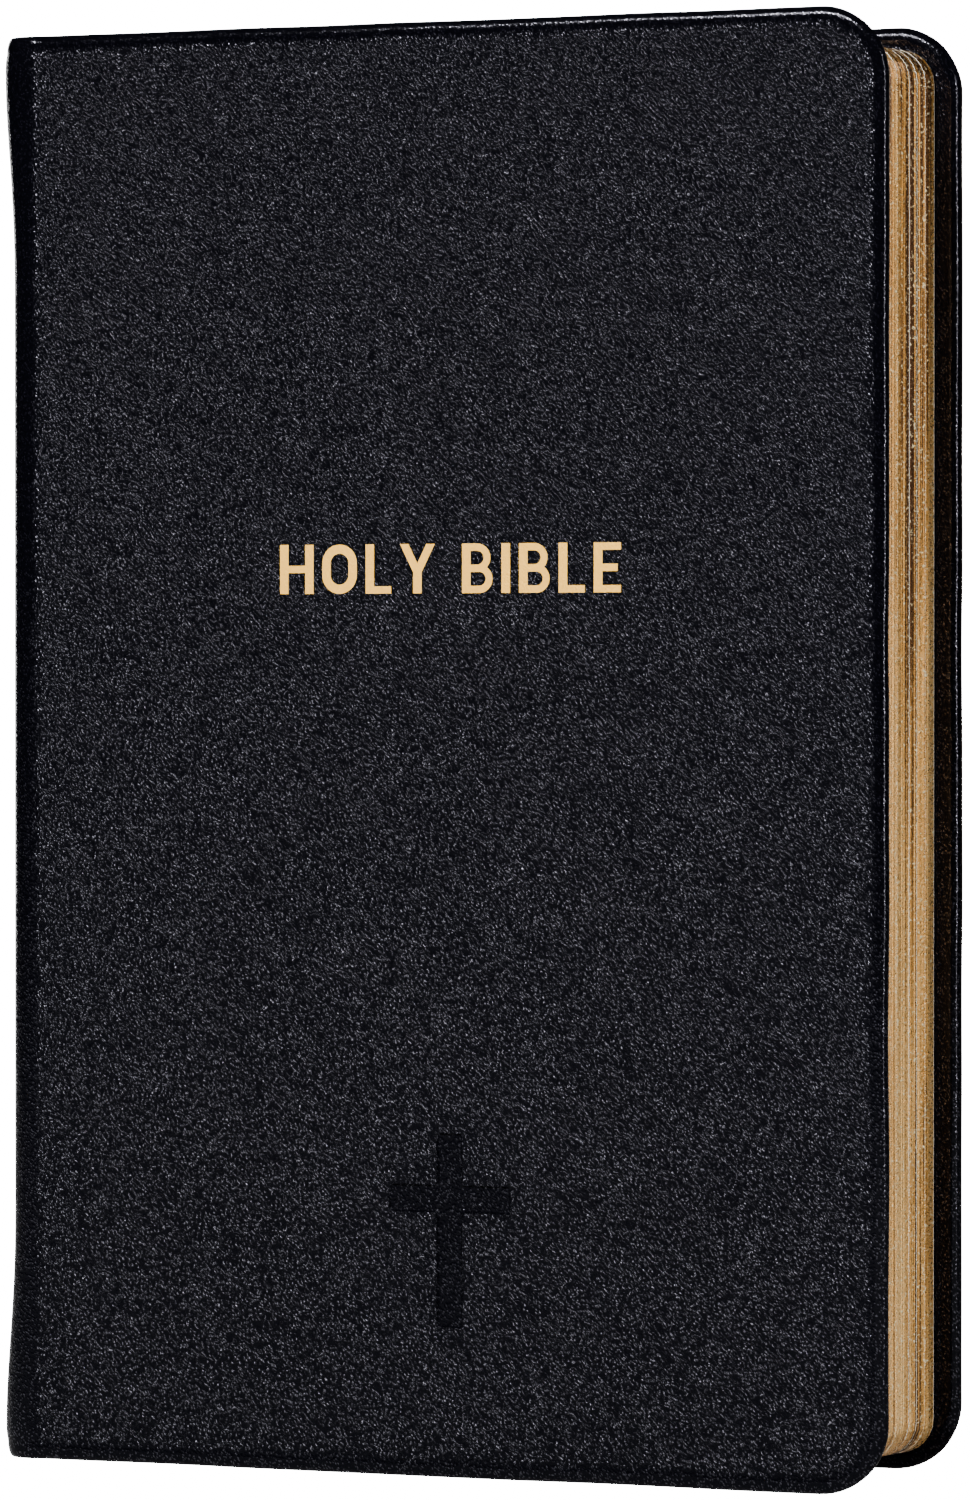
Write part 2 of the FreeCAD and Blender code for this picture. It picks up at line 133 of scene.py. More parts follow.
area_light("bank_above_lens", (-0.12, -0.74, 0.68), middle, 0.3, 0.12, 21)
area_light("strip_right", (0.76, -0.86, 0.15), middle, 0.06, 1.0, 17)
area_light("strip_behind_left", (-0.95, 0.7, 0.15), middle, 0.2, 1.0, 4.8)
area_light("panel_behind", (0.46, 1.12, 0.2), middle, 0.22, 1.0, 2.8, "#ffe9d6")
area_light("panel_beside", (1.0, 0.72, 0.2), middle, 0.22, 1.0, 3.2, "#fff2dc")

WHITE = 22.0                   # strength at which the table and the backdrop come out white

world = bpy.data.worlds.new("studio")
world.use_nodes = True
tree = world.node_tree
backdrop = tree.nodes["Background"]
backdrop.inputs["Color"].default_value = linear("#ffffff")
backdrop.inputs["Strength"].default_value = WHITE
dim = add_node(tree, "ShaderNodeBackground", Color=linear("#c9ccd4"), Strength=0.05)
white_to_camera(tree, dim, backdrop, "World Output")
bpy.context.scene.world = world

FLOOR_HALF = 6.0               # m
floor_mesh = bpy.data.meshes.new("table_top")
floor_mesh.from_pydata([(-FLOOR_HALF, -FLOOR_HALF, 0), (FLOOR_HALF, -FLOOR_HALF, 0),
                        (FLOOR_HALF, FLOOR_HALF, 0), (-FLOOR_HALF, FLOOR_HALF, 0)], [], [(0, 1, 2, 3)])
floor = bpy.data.objects.new("table_top", floor_mesh)
bpy.context.scene.collection.objects.link(floor)

# Table top: white matt laminate.
white_table, tree, shader = new_material("white_matt_table")
shader.inputs["Base Color"].default_value = linear("#d8d8d8")
shader.inputs["Roughness"].default_value = 0.9
shader.inputs["Specular IOR Level"].default_value = 0.1
lit = add_node(tree, "ShaderNodeEmission", Color=linear("#ffffff"), Strength=WHITE)
white_to_camera(tree, shader, lit, "Material Output")
floor_mesh.materials.append(white_table)

lens = bpy.data.cameras.new("camera")
lens.lens = 163.3
lens.sensor_width = 36
lens.clip_start = 0.05
lens.clip_end = 30
camera = bpy.data.objects.new("camera", lens)
bpy.context.scene.collection.objects.link(camera)
camera.location = (0.36125, -0.90943, 0.1118)
camera.rotation_euler = (math.radians(90 - 0.527), 0, math.radians(21.583))
bpy.context.scene.camera = camera


# ------------------------------------------------------------------ sections of the text block
# About fourteen hundred leaves of thin Bible paper, sewn in sections that a rule grows leaf by
# leaf, rounded at the back, so that the fore-edge is hollow. The first and last three sections,
# which turn with the covers, are each built from its own fold.

hinges = {joint["name"]: Vector(joint["pos_m"]) for joint in frame["joints"]}
HINGE_X = hinges["front_cover_hinge"].x
SPINE_ROUND = 60 * MM          # radius of the rounded back
PAGE_CORNER = 5 * MM
LEAF_BUNDLE = 0.25 * MM        # leaves that moved together when the edges were cut
BEND_STEPS = (-1.5, 0, 1, 2, 3, 4.2, 5.5, 7, 8.5, 10, 12, 14, 16, 19)   # mm past the hinge line
CUT_SLIP = 0.035 * MM          # how unevenly they came to rest

pages_low, pages_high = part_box("section_07")
page_wide = pages_high.x - pages_low.x
back_radius = SPINE_ROUND - (pages_low.x - low.x)


def fold_line(y):
    """x of the rounded back of the pages, at a place across the book."""
    centre = low.x + SPINE_ROUND
    return centre - math.sqrt(back_radius ** 2 - y ** 2)


def bend_columns(start, stop):
    """Places along a leaf or a cover, close together where it bends beside the hinge line."""
    near = [HINGE_X + step * MM for step in BEND_STEPS]
    steps = [x for x in near if x > start + 0.4 * MM]
    flat_steps = 10
    first = steps[-1]
    even = [first + (stop - first) * n / flat_steps for n in range(1, flat_steps + 1)]
    return [start] + steps + even


def edge_loop(start, stop, bottom, top, corner):
    """The outline of a leaf in x and z: tail edge, fore-edge with round corners, head edge. Also
    says how many of its points lie along the tail edge."""
    columns = bend_columns(start, stop - corner)
    points = [(x, bottom) for x in columns]
    turns = 6
    for n in range(1, turns + 1):
        angle = math.radians(90 * n / turns)
        points.append((stop - corner + corner * math.sin(angle),
                       bottom + corner - corner * math.cos(angle)))
    rises = 8
    for n in range(1, rises):
        points.append((stop, bottom + corner + (top - bottom - 2 * corner) * n / rises))
    for n in range(turns + 1):
        angle = math.radians(90 * n / turns)
        points.append((stop - corner + corner * math.cos(angle),
                       top - corner + corner * math.sin(angle)))
    points += [(x, top) for x in reversed(columns[:-1])]
    return points, len(columns)


def leaf_faces(count, half, base=0):
    """Flat faces that fill an outline from edge_loop, in strips between tail and head edge."""
    points = list(range(base, base + count))
    bottom, rest = points[:half], points[half:]
    top = list(reversed(rest[-(half - 1):])) + [rest[-half]]
    faces = [[bottom[n], bottom[n + 1], top[n + 1], top[n]] for n in range(half - 1)]
    return faces + [[bottom[-1]] + rest[:len(rest) - half + 1]]


def mesh_piece(name, verts, faces, materials, edges=()):
    """A mesh object at the origin."""
    mesh = bpy.data.meshes.new(name)
    mesh.from_pydata(verts, edges, faces)
    for material in materials:
        mesh.materials.append(material)
    piece = bpy.data.objects.new(name, mesh)
    bpy.context.scene.collection.objects.link(piece)
    return piece


def face_outwards(piece):
    work = bmesh.new()
    work.from_mesh(piece.data)
    bmesh.ops.recalc_face_normals(work, faces=work.faces)
    work.to_mesh(piece.data)
    work.free()


def shade_smooth(piece):
    """Smooth shading over curves, crisp over edges."""
    piece.data.polygons.foreach_set("use_smooth", [True] * len(piece.data.polygons))
    piece.data.set_sharp_from_angle(angle=math.radians(50))


# Bible paper: thin, smooth, slightly warm, a little see-through. Soft fibre clouding only.
paper, tree, shader = new_material("thin_bible_paper")
spot = add_node(tree, "ShaderNodeTexCoord")
cloud = add_node(tree, "ShaderNodeTexNoise", Vector=spot.outputs["Object"], Scale=350.0, Detail=3.0)
tone = add_node(tree, "ShaderNodeMixRGB", Fac=cloud.outputs["Fac"], Color1=linear("#ece5d3"),
                Color2=linear("#f6f1e4"))
tree.links.new(tone.outputs[0], shader.inputs["Base Color"])
shader.inputs["Roughness"].default_value = 0.85
shader.inputs["Specular IOR Level"].default_value = 0.25

# Gold leaf burnished onto the cut edges: it follows each leaf, so it shines in streaks along
# the edges with pale specks painted in as glints, from pale gold to brown between bundles; the
# brown is set in the middle of the hollow edge, where it also paints the hollow's shade.
gilt, tree, shader = new_material("burnished_gilt_edge")
spot = add_node(tree, "ShaderNodeTexCoord")
# The Location shifts of these two patterns set the dark brown in the middle of the hollow fore-edge. It
# is painted shade of the hollow there, on top of the real brown between bundles.
streak_space = add_node(tree, "ShaderNodeMapping", Vector=spot.outputs["Object"],
                        Location=(0.0, -18.2, 0.0), Scale=(60.0, 2600.0, 12.0))
streak = add_node(tree, "ShaderNodeTexNoise", Vector=streak_space.outputs[0], Scale=1.0, Detail=4.0,
                  Roughness=0.7)
tone_and_shade_band_space = add_node(tree, "ShaderNodeMapping", Vector=spot.outputs["Object"],
                      Location=(0.0, -2.66, 0.0), Scale=(20.0, 380.0, 6.0))
band = add_node(tree, "ShaderNodeTexNoise", Vector=tone_and_shade_band_space.outputs[0], Scale=1.0, Detail=3.0)
fleck_space = add_node(tree, "ShaderNodeMapping", Vector=spot.outputs["Object"],
                       Scale=(1500.0, 1500.0, 2600.0))
fleck = add_node(tree, "ShaderNodeTexNoise", Vector=fleck_space.outputs[0], Scale=1.0, Detail=2.0)
both = add_node(tree, "ShaderNodeMath", {"operation": "MULTIPLY"}, _0=streak.outputs["Fac"],
                _1=band.outputs["Fac"])
tones = add_node(tree, "ShaderNodeValToRGB", Fac=both.outputs[0])
tones.color_ramp.elements[0].position = 0.19
tones.color_ramp.elements[0].color = linear("#4a2a08")
tones.color_ramp.elements[1].position = 0.32
tones.color_ramp.elements[1].color = linear("#f6c67c")
warm = tones.color_ramp.elements.new(0.23)
warm.color = linear("#d49a48")
# Painted glints: pale specks in the gilt's base colour stand for sparkles of light on the gold.
painted_glint_specks = add_node(tree, "ShaderNodeMapRange", Value=fleck.outputs["Fac"], From_Min=0.6, From_Max=0.68)
gold = add_node(tree, "ShaderNodeMixRGB", Fac=painted_glint_specks.outputs[0], Color1=tones.outputs[0],
                Color2=linear("#fff3cc"))
tree.links.new(gold.outputs[0], shader.inputs["Base Color"])
shader.inputs["Metallic"].default_value = 0.85
rough = add_node(tree, "ShaderNodeMapRange", Value=fleck.outputs["Fac"], To_Min=0.1, To_Max=0.5)
tree.links.new(rough.outputs[0], shader.inputs["Roughness"])
bump = add_node(tree, "ShaderNodeBump", Height=fleck.outputs["Fac"], Strength=0.8, Distance=0.0001)
grooved = add_node(tree, "ShaderNodeBump", Height=streak.outputs["Fac"], Strength=0.5, Distance=0.00006,
                   Normal=bump.outputs[0])
tree.links.new(grooved.outputs[0], shader.inputs["Normal"])


def rule_tree(name, sizes):
    """A Geometry Nodes tree with a geometry input and the named inputs: the tree, the sockets
    of its inputs, and its output node."""
    rule = bpy.data.node_groups.new(name, "GeometryNodeTree")
    rule.interface.new_socket("Geometry", in_out="INPUT", socket_type="NodeSocketGeometry")
    for label, kind in sizes:
        rule.interface.new_socket(label, in_out="INPUT", socket_type="NodeSocket" + kind)
    rule.interface.new_socket("Geometry", in_out="OUTPUT", socket_type="NodeSocketGeometry")
    given = rule.nodes.new("NodeGroupInput").outputs
    return rule, given, rule.nodes.new("NodeGroupOutput")


def math_node(rule, operation, *values):
    inputs = {f"_{n}": value for n, value in enumerate(values)}
    return add_node(rule, "ShaderNodeMath", {"operation": operation}, **inputs).outputs[0]


def named(rule, kind, name):
    """The socket of an attribute read by its name."""
    return add_node(rule, "GeometryNodeInputNamedAttribute", {"data_type": kind}, Name=name).outputs[0]


def axes(rule, vector):
    return add_node(rule, "ShaderNodeSeparateXYZ", Vector=vector).outputs


def joined(rule, *parts):
    both = rule.nodes.new("GeometryNodeJoinGeometry")
    for part in parts:
        rule.links.new(part, both.inputs[0])
    return both.outputs[0]


def finish_rule(rule, result, geometry, *materials):
    """Ends a tree: real geometry, and its materials, each with the faces that take it."""
    last = add_node(rule, "GeometryNodeRealizeInstances", Geometry=geometry)
    for material, faces in materials:
        last = add_node(rule, "GeometryNodeSetMaterial", Geometry=last.outputs[0],
                        Selection=faces, Material=material)
    rule.links.new(last.outputs[0], result.inputs[0])


RULE_ATTRIBUTES = ("slide", "trim", "bundle", "newest")


def grow_by_rule(piece, rule, values):
    """Runs a tree on an object and keeps its result as the object's plain mesh."""
    modifier = piece.modifiers.new(rule.name, "NODES")
    modifier.node_group = rule
    for socket in rule.interface.items_tree:
        if socket.name in values:
            modifier[socket.identifier] = values[socket.name]
    evaluated = piece.evaluated_get(bpy.context.evaluated_depsgraph_get())
    grown = bpy.data.meshes.new_from_object(evaluated)
    piece.modifiers.remove(modifier)
    piece.data = grown
    while grown.materials[0] is None:
        grown.materials.pop(index=0)
    for name in RULE_ATTRIBUTES:
        if name in grown.attributes:
            grown.attributes.remove(grown.attributes[name])


def leaves_rule():
    """One flat leaf becomes a sewn section: it is extruded bundle by bundle, the fold of each
    bundle is set on the rounded back, and each comes to rest a little off the others."""
    rule, given, result = rule_tree("leaves_by_bundles", [
        ("Near", "Float"), ("Far", "Float"), ("Bundles", "Int"), ("Cut Slip", "Float"),
        ("Back Radius", "Float"), ("Seed", "Int"), ("Paper", "Material"), ("Gilt", "Material")])
    span = math_node(rule, "SUBTRACT", given["Far"], given["Near"])
    step = math_node(rule, "DIVIDE", span, given["Bundles"])
    offset = add_node(rule, "ShaderNodeCombineXYZ", Y=step)

    def store(geometry, kind, domain, name, value, selection=True):
        return add_node(rule, "GeometryNodeStoreNamedAttribute", {"data_type": kind, "domain": domain},
                        Geometry=geometry, Selection=selection, Name=name, Value=value).outputs[0]

    marked = store(given["Geometry"], "BOOLEAN", "FACE", "newest", True)
    numbered = store(marked, "INT", "POINT", "bundle", 0)
    turn = rule.nodes.new("GeometryNodeRepeatInput")
    turned = rule.nodes.new("GeometryNodeRepeatOutput")
    turn.pair_with_output(turned)
    rule.links.new(given["Bundles"], turn.inputs["Iterations"])
    rule.links.new(numbered, turn.inputs["Geometry"])
    raised = add_node(rule, "GeometryNodeExtrudeMesh", {"mode": "FACES"}, Mesh=turn.outputs["Geometry"],
                      Selection=named(rule, "BOOLEAN", "newest"), Offset=offset.outputs[0],
                      Offset_Scale=1.0, Individual=False)
    marked = store(raised.outputs["Mesh"], "BOOLEAN", "FACE", "newest", raised.outputs["Top"])
    following = math_node(rule, "ADD", named(rule, "INT", "bundle"), 1)
    counted = store(marked, "INT", "POINT", "bundle", following, raised.outputs["Top"])
    rule.links.new(counted, turned.inputs["Geometry"])

    under = add_node(rule, "GeometryNodeFlipFaces", Mesh=numbered)
    whole = joined(rule, turned.outputs["Geometry"], under.outputs[0])
    shut = add_node(rule, "GeometryNodeMergeByDistance", Geometry=whole, Distance=0.001 * MM)

    def sagitta(y):
        reach = math_node(rule, "SUBTRACT", math_node(rule, "POWER", given["Back Radius"], 2),
                          math_node(rule, "MULTIPLY", y, y))
        return math_node(rule, "SUBTRACT", given["Back Radius"], math_node(rule, "SQRT", reach))

    def slipped(seed, part):
        """A chance shift of each bundle, the same for all its points. The float sockets of
        Random Value are its third and fourth, and its second output."""
        chance = add_node(rule, "FunctionNodeRandomValue", {"data_type": "FLOAT"}, _2=-1.0, _3=1.0,
                          ID=named(rule, "INT", "bundle"), Seed=seed)
        return math_node(rule, "MULTIPLY", part,
                         math_node(rule, "MULTIPLY", chance.outputs[1], given["Cut Slip"]))

    place = axes(rule, rule.nodes.new("GeometryNodeInputPosition").outputs[0])
    trim = axes(rule, named(rule, "FLOAT_VECTOR", "trim"))
    along = math_node(rule, "MULTIPLY", named(rule, "FLOAT", "slide"),
                      math_node(rule, "SUBTRACT", sagitta(place["Y"]), sagitta(given["Near"])))
    other_seed = math_node(rule, "ADD", given["Seed"], 500)
    shift = add_node(rule, "ShaderNodeCombineXYZ",
                     X=math_node(rule, "ADD", along, slipped(given["Seed"], trim["X"])),
                     Z=slipped(other_seed, trim["Z"]))
    settled = add_node(rule, "GeometryNodeSetPosition", Geometry=shut.outputs[0],
                       Offset=shift.outputs[0])

    # Gilt takes what faces neither along the book nor back to the fold: the three cut edges.
    facing = axes(rule, rule.nodes.new("GeometryNodeInputNormal").outputs[0])
    sideways = math_node(rule, "LESS_THAN", math_node(rule, "ABSOLUTE", facing["Y"]), 0.7)
    not_fold = math_node(rule, "GREATER_THAN", facing["X"], -0.5)
    cut = math_node(rule, "MULTIPLY", sideways, not_fold)
    finish_rule(rule, result, settled.outputs[0], (given["Paper"], True), (given["Gilt"], cut))
    return rule


leaves_by_bundles = leaves_rule()


def section(name, near_y, far_y, seed):
    """A section of leaves from near_y to far_y, grown from its first leaf. Each point of that
    leaf says how far it moves with the fold (slide) and with the cut edges (trim), per metre."""
    start = fold_line(near_y)
    stop = start + page_wide
    nudge = 0.01 * MM
    loop, half = edge_loop(start, stop, pages_low.z, pages_high.z, PAGE_CORNER)
    slid, _ = edge_loop(start + nudge, stop + nudge, pages_low.z, pages_high.z, PAGE_CORNER)
    grown, _ = edge_loop(start, stop + nudge, pages_low.z - nudge, pages_high.z + nudge, PAGE_CORNER)
    faces = [list(reversed(face)) for face in leaf_faces(len(loop), half)]
    piece = mesh_piece(name, [(x, near_y, z) for x, z in loop], faces, [paper, gilt])
    slide = piece.data.attributes.new("slide", "FLOAT", "POINT")
    slide.data.foreach_set("value", [(b[0] - a[0]) / nudge for a, b in zip(loop, slid)])
    trim = piece.data.attributes.new("trim", "FLOAT_VECTOR", "POINT")
    for n, (a, b) in enumerate(zip(loop, grown)):
        trim.data[n].vector = ((b[0] - a[0]) / nudge, 0, (b[1] - a[1]) / nudge)
    grow_by_rule(piece, leaves_by_bundles, {
        "Near": near_y, "Far": far_y, "Bundles": max(2, round((far_y - near_y) / LEAF_BUNDLE)),
        "Cut Slip": CUT_SLIP, "Back Radius": back_radius, "Seed": seed,
        "Paper": paper, "Gilt": gilt})
    face_outwards(piece)
    return piece


AIR = 0.13 * MM                # what the leaves swell into of the room left between turning sections
SECTIONS = 14
LOOSE = 3                      # sections at each end that turn with a cover
for n in range(1, SECTIONS + 1):
    node = f"section_{n:02d}"
    loose = n <= LOOSE or n > SECTIONS - LOOSE
    low_corner, high_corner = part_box(node + "_leaves" if loose else node)
    swell = AIR if loose else 0
    piece = section("sewn_" + node, low_corner.y - swell, high_corner.y + swell, n)
    if loose:
        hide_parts(node + "_leaves", node + "_fold")
        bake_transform(piece)
    else:
        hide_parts(node)
        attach(piece, "spine_and_block")


# ------------------------------------------------------------------ sewing, gauze and paper
# The folds are sewn through with linen thread, covered with open cotton mull and then with
# brown kraft paper. Beads of striped silk hide the folds at head and tail.

thread_finish, tree, shader = new_material("waxed_linen_thread")
shader.inputs["Base Color"].default_value = linear("#d8d0ba")
shader.inputs["Roughness"].default_value = 0.6
spot = add_node(tree, "ShaderNodeTexCoord")
ply = add_node(tree, "ShaderNodeTexWave", {"bands_direction": "DIAGONAL"}, Vector=spot.outputs["Object"],
               Scale=900.0)
bump = add_node(tree, "ShaderNodeBump", Height=ply.outputs["Fac"], Strength=0.5, Distance=0.0001)
tree.links.new(bump.outputs[0], shader.inputs["Normal"])

# Mull: a plain open weave with a thread every 1 mm, stiff with glue.
MULL_THREAD = 1.0 * MM
gauze, tree, shader = new_material("cotton_mull_gauze")
spot = add_node(tree, "ShaderNodeTexCoord")
weft = add_node(tree, "ShaderNodeTexWave", {"bands_direction": "Z"}, Vector=spot.outputs["Object"],
                Scale=0.314 / MULL_THREAD)
warp = add_node(tree, "ShaderNodeTexWave", {"bands_direction": "Y"}, Vector=spot.outputs["Object"],
                Scale=0.314 / MULL_THREAD)
weave = add_node(tree, "ShaderNodeMath", {"operation": "MAXIMUM"}, _0=weft.outputs["Fac"],
                 _1=warp.outputs["Fac"])
tone = add_node(tree, "ShaderNodeMixRGB", Fac=weave.outputs[0], Color1=linear("#8d8468"),
                Color2=linear("#e0dac6"))
tree.links.new(tone.outputs[0], shader.inputs["Base Color"])
bump = add_node(tree, "ShaderNodeBump", Height=weave.outputs[0], Strength=0.6, Distance=0.0002)
tree.links.new(bump.outputs[0], shader.inputs["Normal"])
shader.inputs["Roughness"].default_value = 0.9

# Kraft: long brown fibres that run one way.
kraft, tree, shader = new_material("brown_kraft_paper")
spot = add_node(tree, "ShaderNodeTexCoord")
along = add_node(tree, "ShaderNodeMapping", Vector=spot.outputs["Object"], Scale=(900.0, 900.0, 90.0))
fibre = add_node(tree, "ShaderNodeTexNoise", Vector=along.outputs[0], Scale=1.0, Detail=5.0)
tone = add_node(tree, "ShaderNodeMixRGB", Fac=fibre.outputs["Fac"], Color1=linear("#8a6a45"),
                Color2=linear("#b8946a"))
tree.links.new(tone.outputs[0], shader.inputs["Base Color"])
shader.inputs["Roughness"].default_value = 0.8

# Silk: a bead wound in stripes of old gold and black, 1.2 mm each.
SILK_STRIPE = 1.2 * MM
silk, tree, shader = new_material("striped_silk_bead")
spot = add_node(tree, "ShaderNodeTexCoord")
stripe = add_node(tree, "ShaderNodeTexWave", {"bands_direction": "Y", "wave_profile": "SIN"},
                  Vector=spot.outputs["Object"], Scale=0.157 / SILK_STRIPE)
sharp = add_node(tree, "ShaderNodeMapRange", Value=stripe.outputs["Fac"], From_Min=0.42, From_Max=0.58)
tone = add_node(tree, "ShaderNodeMixRGB", Fac=sharp.outputs[0], Color1=linear("#18171b"),
                Color2=linear("#c79a4c"))
tree.links.new(tone.outputs[0], shader.inputs["Base Color"])
shader.inputs["Roughness"].default_value = 0.35
shader.inputs["Sheen Weight"].default_value = 0.4

# Millboard: grey, pressed from waste paper.
millboard, tree, shader = new_material("grey_flexible_millboard")
spot = add_node(tree, "ShaderNodeTexCoord")
pulp = add_node(tree, "ShaderNodeTexNoise", Vector=spot.outputs["Object"], Scale=1500.0, Detail=4.0)
tone = add_node(tree, "ShaderNodeMixRGB", Fac=pulp.outputs["Fac"], Color1=linear("#77736b"),
                Color2=linear("#a39e93"))
tree.links.new(tone.outputs[0], shader.inputs["Base Color"])
shader.inputs["Roughness"].default_value = 0.9

for node, finish in (("mull_gauze", gauze), ("spine_paper", kraft), ("spine_card", millboard)):
    cad_mesh = frame["nodes"][node].data
    cad_mesh.materials.clear()
    cad_mesh.materials.append(finish)


# ------------------------------------------------------------------ leather of the case
# One skin of black calf, embossed with a fine pebble grain, is folded over flexible boards and
# round the back, and turned in 14 mm. Its folded edges are smoother and a little glossier than
# its faces. Each cover's part is built close-meshed beside the hinge line; the back's part is fixed.

COVER_CORNER = 10 * MM
ROLL = 1.6 * MM                # width of the rounding where the leather folds over the board
TURN_IN = 14 * MM
TURN_EDGE = 0.35 * MM          # thickness of the pared leather at its inner edge
FOIL_BED = 0.055 * MM          # the faces lie this much below the foil's face
GRAIN = 0.4                    # mm between pebbles

leather_low, leather_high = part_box("front_leather")
cover_thick = leather_high.y - leather_low.y
foil_low, foil_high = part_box("title_foil")
fore_x = leather_high.x
foot_z = leather_low.z
head_z = leather_high.z

CROSS_HIGH = 27 * MM
CROSS_WIDE = 18 * MM
CROSS_BAR = 3.4 * MM
CROSS_FOOT = 21.5 * MM
CROSS_DEPTH = 0.4 * MM
cross_x = (foil_low.x + foil_high.x) / 2
cross_arm_z = CROSS_FOOT + CROSS_HIGH - CROSS_WIDE / 2


def pebble_grain(tree, place):
    """Height of the embossed grain, 0 to 1, from a place in metres: uneven pebbles with fine
    wrinkles between them, drawn out on a slant as skin is."""
    scaled = add_node(tree, "ShaderNodeVectorMath", {"operation": "SCALE"}, _0=place, Scale=1000.0)
    wander = add_node(tree, "ShaderNodeTexNoise", Vector=scaled.outputs[0], Scale=0.55, Detail=2.0)
    shifted = add_node(tree, "ShaderNodeVectorMath", {"operation": "MULTIPLY_ADD"},
                       _0=wander.outputs["Color"], _1=(0.7, 0.7, 0.7), _2=scaled.outputs[0])
    turned = add_node(tree, "ShaderNodeMapping", {"vector_type": "TEXTURE"}, Vector=shifted.outputs[0],
                      Rotation=(0.0, math.radians(-32), 0.0), Scale=(0.75, 1.0, 1.35))
    cells = add_node(tree, "ShaderNodeTexVoronoi", {"feature": "SMOOTH_F1"},
                     Vector=turned.outputs[0], Scale=1 / GRAIN, Smoothness=0.35)
    pebble = add_node(tree, "ShaderNodeMapRange", Value=cells.outputs["Distance"],
                      From_Max=0.75, To_Min=1.0, To_Max=0.0)
    fine = add_node(tree, "ShaderNodeTexNoise", Vector=turned.outputs[0], Scale=2.2, Detail=2.0,
                    Roughness=0.6)
    return add_node(tree, "ShaderNodeMath", {"operation": "MULTIPLY_ADD"},
                    _0=fine.outputs["Fac"], _1=0.45, _2=pebble.outputs[0]).outputs[0]


# Calf leather, aniline black with a faint violet cast under a satin finish. The attribute
# "worked" is 1 where the leather was folded and rubbed down, and 0 on the flat faces.
leather, tree, shader = new_material("black_embossed_calf")
place = add_node(tree, "ShaderNodeAttribute", {"attribute_name": "grain_place"})
worked = add_node(tree, "ShaderNodeAttribute", {"attribute_name": "worked"})
height = pebble_grain(tree, place.outputs["Vector"])
# Painted shade: the grain's hollows take a darker base colour than its pebble tops. The same mask gives
# the hollows less shine.
hollow_shade_and_gloss = add_node(tree, "ShaderNodeMapRange", Value=height, From_Min=0.7, From_Max=1.2)
tone = add_node(tree, "ShaderNodeMixRGB", Fac=hollow_shade_and_gloss.outputs[0], Color1=linear("#020204"),
                Color2=linear("#0d0c12"))
tree.links.new(tone.outputs[0], shader.inputs["Base Color"])
press = add_node(tree, "ShaderNodeMapRange", Value=worked.outputs["Fac"], To_Min=1.0, To_Max=0.08)
bump = add_node(tree, "ShaderNodeBump", Height=height, Strength=press.outputs[0], Distance=0.00017)
tree.links.new(bump.outputs[0], shader.inputs["Normal"])
gloss = add_node(tree, "ShaderNodeMapRange", Value=hollow_shade_and_gloss.outputs[0], To_Min=0.05, To_Max=0.8)
tree.links.new(gloss.outputs[0], shader.inputs["Specular IOR Level"])
shader.inputs["Specular Tint"].default_value = linear("#f0eeff")
rubbed = add_node(tree, "ShaderNodeMapRange", Value=worked.outputs["Fac"], To_Min=0.26, To_Max=0.13)
tree.links.new(rubbed.outputs[0], shader.inputs["Roughness"])


def fade(value, start, stop):
    """0 before start, 1 after stop, smooth between."""
    share = min(1.0, max(0.0, (value - start) / (stop - start)))
    return share * share * (3 - 2 * share)


def in_cross(x, z, grow):
    """Whether a place lies in the pressed cross, made larger all round by grow."""
    aside = abs(x - cross_x)
    post_rise = abs(z - CROSS_FOOT - CROSS_HIGH / 2)
    post = aside < CROSS_BAR / 2 + grow and post_rise < CROSS_HIGH / 2 + grow
    arm = aside < CROSS_WIDE / 2 + grow and abs(z - cross_arm_z) < CROSS_BAR / 2 + grow
    return post or arm


def lines_round(edges):
    """Mesh lines that hold a crisp wall on both sides of each edge of the cross."""
    lines = []
    for edge, outward in edges:
        lines += [edge + outward * step * MM for step in (-0.3, 0, 0.3, 0.6)]
    return lines


def spread(lines, start, stop, step):
    """Fills the room between some fixed lines with more, no further apart than step."""
    fixed = sorted({round(value, 7) for value in lines if start < value < stop} | {start, stop})
    filled = [fixed[0]]
    for value in fixed[1:]:
        parts = max(1, math.ceil((value - filled[-1]) / step))
        begin = filled[-1]
        filled += [begin + (value - begin) * n / parts for n in range(1, parts + 1)]
    return filled


def face_depth(x, z, pressed):
    """How far below flat the leather's face lies: slow waves, and the pressed cross."""
    away = fade(x, HINGE_X, HINGE_X + 25 * MM)
    title = max(foil_low.x - x, x - foil_high.x, foil_low.z - z, z - foil_high.z, 0)
    wave = noise.noise(Vector((x * 26, pressed * 3.0, z * 22))) * 0.5 + 0.5
    depth = FOIL_BED + 0.22 * MM * wave * away * (fade(title, 0, 9 * MM) if pressed else 1)
    if pressed and in_cross(x, z, 0.05 * MM):
        depth += CROSS_DEPTH
    return depth


def rim_profile():
    """From the middle of the outer face, over the folded edge, to the turn-in's own edge:
    inset from the rim, depth below the outer face, and how much the leather was worked."""
    profile = [(d * MM, 0.0, 0.0) for d in (10, 8.2, 6.6, 5.2, 4.2, 3.4)]
    profile += [(2.8 * MM, 0.05 * MM, 0.15), (2.3 * MM, 0.07 * MM, 0.4), (1.9 * MM, 0.03 * MM, 0.7)]
    turns = 14
    for n in range(turns + 1):
        angle = math.pi * n / turns
        profile.append((ROLL * (1 - math.sin(angle)), cover_thick / 2 * (1 - math.cos(angle)), 1.0))
    profile += [(1.9 * MM, cover_thick, 0.9), (2.4 * MM, cover_thick - 0.12 * MM, 0.8),
                (3.0 * MM, cover_thick - 0.05 * MM, 0.7)]
    profile += [(d * MM, cover_thick, 0.8) for d in (4, 6, 9, 12, 13.6)]
    profile += [(TURN_IN, cover_thick - 0.08 * MM, 0.8), (TURN_IN, cover_thick - TURN_EDGE, 0.8)]
    return profile


